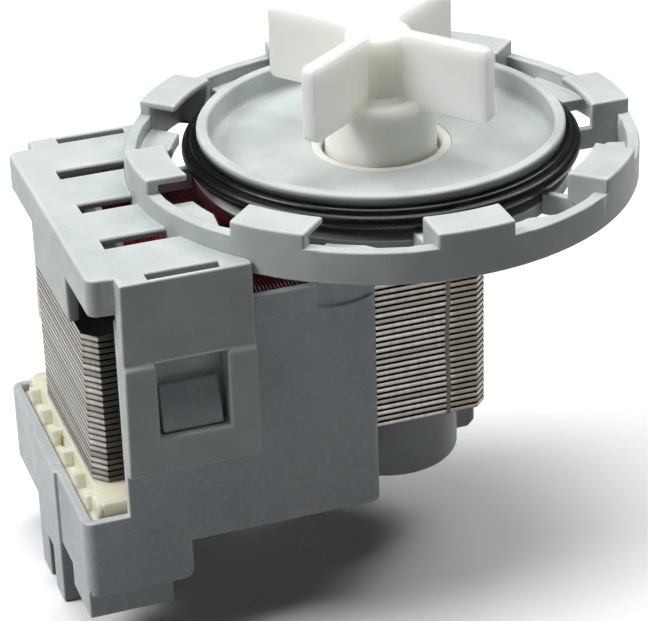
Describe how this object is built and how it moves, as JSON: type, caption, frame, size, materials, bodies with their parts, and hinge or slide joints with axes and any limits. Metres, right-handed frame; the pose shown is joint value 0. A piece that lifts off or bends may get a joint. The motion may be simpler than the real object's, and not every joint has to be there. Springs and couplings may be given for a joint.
{
  "type": "washing machine drain pump",
  "caption": "Grey synchronous drain pump with a bayonet flange, black lip seal, white four-bladed impeller, laminated core and snapped coil housing.",
  "frame": {"origin": "pump axis at the level of the lug tops", "axes": "+Z along the pump axis to the impeller, -X along the core to its yoke, -Y to the front snap arm"},
  "size_m": [0.0976, 0.08, 0.0866],
  "materials": {
    "cover_plastic": "satin",
    "housing_plastic": "satin",
    "seal_rubber": "satin",
    "core_steel": "bare sheet",
    "rivet_steel": "bare",
    "cream_plastic": "satin",
    "coil_enamel": "enamelled wire",
    "terminal_brass": "tinned",
    "carrier_plastic": "satin",
    "bush_carbon": "sintered",
    "magnet_ferrite": "ground",
    "shaft_steel": "ground",
    "washer_plastic": "satin",
    "dog_plastic": "satin",
    "impeller_plastic": "translucent satin"
  },
  "bodies": {
    "pump_body": {"bayonet_ring": "cover_plastic", "bayonet_lugs": "cover_plastic", "guide_teeth": "cover_plastic", "pump_dish": "cover_plastic", "rotor_well": "cover_plastic", "coil_plate": "cover_plastic", "spigot_seal": "seal_rubber", "core_sheets": "core_steel", "core_rivets": "rivet_steel", "bobbin_front": "cream_plastic", "bobbin_back": "cream_plastic", "coil_front": "coil_enamel", "coil_back": "coil_enamel", "coil_housing": "housing_plastic", "wire_comb": "cream_plastic", "terminal_front": "terminal_brass", "terminal_back": "terminal_brass", "bearing_carrier": "carrier_plastic", "carrier_seal": "seal_rubber", "shaft_seal": "seal_rubber", "front_bush": "bush_carbon", "rear_bush": "bush_carbon", "rear_cushion": "seal_rubber"},
    "rotor": {"rotor_magnet": "magnet_ferrite", "magnet_carrier": "carrier_plastic", "rotor_shaft": "shaft_steel", "thrust_washer_front": "washer_plastic", "thrust_washer_rear": "washer_plastic", "drive_dog": "dog_plastic"},
    "impeller_set": {"impeller": "impeller_plastic", "impeller_cap": "impeller_plastic", "stop_bumpers": "seal_rubber"}
  },
  "joints": [
    {"name": "rotor_spin", "type": "hinge", "parent": "pump_body", "child": "rotor", "pos_m": [0, 0, 0], "axis": [0, 0, 1], "continuous": true},
    {"name": "impeller_play", "type": "hinge", "parent": "rotor", "child": "impeller_set", "pos_m": [0, 0, 0], "axis": [0, 0, 1], "range_deg": [-90, 90]}
  ]
}
